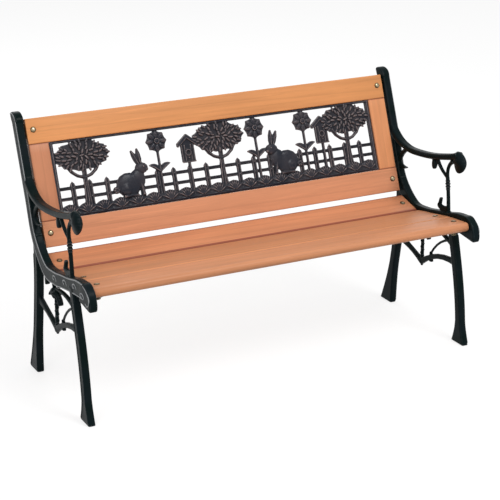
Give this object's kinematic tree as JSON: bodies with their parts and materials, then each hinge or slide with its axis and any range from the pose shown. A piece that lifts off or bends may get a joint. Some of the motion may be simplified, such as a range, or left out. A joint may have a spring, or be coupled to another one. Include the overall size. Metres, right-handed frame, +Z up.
{
  "type": "child bench",
  "caption": "Child-size park bench with openwork cast-iron ends, hardwood seat slats and a framed back with a cast garden panel.",
  "frame": {"origin": "on the floor, under the middle of the bench's box", "axes": "+X along the bench to the sitter's left, +Y from the seat's front to the back, +Z up"},
  "size_m": [0.8436, 0.3886, 0.516],
  "materials": {
    "cast_iron": "satin black-green paint",
    "hardwood": "satin varnish",
    "dark_bronze": "dark bronze paint",
    "yellow_zinc": "yellow zinc plating",
    "dowel_wood": "raw"
  },
  "bodies": {
    "root": {"left_end_frame": "cast_iron", "right_end_frame": "cast_iron", "seat_slat_front": "hardwood", "seat_slat_middle": "hardwood", "seat_slat_rear": "hardwood", "back_bottom_rail": "hardwood", "back_top_rail": "hardwood", "back_left_stile": "hardwood", "back_right_stile": "hardwood", "back_panel": "dark_bronze", "left_bottom_dowel_1": "dowel_wood", "left_bottom_dowel_2": "dowel_wood", "left_top_dowel_1": "dowel_wood", "left_top_dowel_2": "dowel_wood", "right_bottom_dowel_1": "dowel_wood", "right_bottom_dowel_2": "dowel_wood", "right_top_dowel_1": "dowel_wood", "right_top_dowel_2": "dowel_wood", "panel_bottom_left_screw": "yellow_zinc", "panel_bottom_middle_screw": "yellow_zinc", "panel_bottom_right_screw": "yellow_zinc", "panel_top_left_screw": "yellow_zinc", "panel_top_middle_screw": "yellow_zinc", "panel_top_right_screw": "yellow_zinc", "left_bottom_rail_bolt": "yellow_zinc", "right_bottom_rail_bolt": "yellow_zinc", "left_top_rail_bolt": "yellow_zinc", "right_top_rail_bolt": "yellow_zinc", "left_front_slat_bolt": "yellow_zinc", "right_front_slat_bolt": "yellow_zinc", "left_middle_slat_bolt": "yellow_zinc", "right_middle_slat_bolt": "yellow_zinc", "left_rear_slat_bolt": "yellow_zinc", "right_rear_slat_bolt": "yellow_zinc", "left_bottom_rail_washer": "yellow_zinc", "right_bottom_rail_washer": "yellow_zinc", "left_top_rail_washer": "yellow_zinc", "right_top_rail_washer": "yellow_zinc", "left_front_slat_washer": "yellow_zinc", "right_front_slat_washer": "yellow_zinc", "left_middle_slat_washer": "yellow_zinc", "right_middle_slat_washer": "yellow_zinc", "left_rear_slat_washer": "yellow_zinc", "right_rear_slat_washer": "yellow_zinc", "left_bottom_rail_nut": "yellow_zinc", "right_bottom_rail_nut": "yellow_zinc", "left_top_rail_nut": "yellow_zinc", "right_top_rail_nut": "yellow_zinc", "left_front_slat_nut": "yellow_zinc", "right_front_slat_nut": "yellow_zinc", "left_middle_slat_nut": "yellow_zinc", "right_middle_slat_nut": "yellow_zinc", "left_rear_slat_nut": "yellow_zinc", "right_rear_slat_nut": "yellow_zinc"}
  },
  "joints": []
}
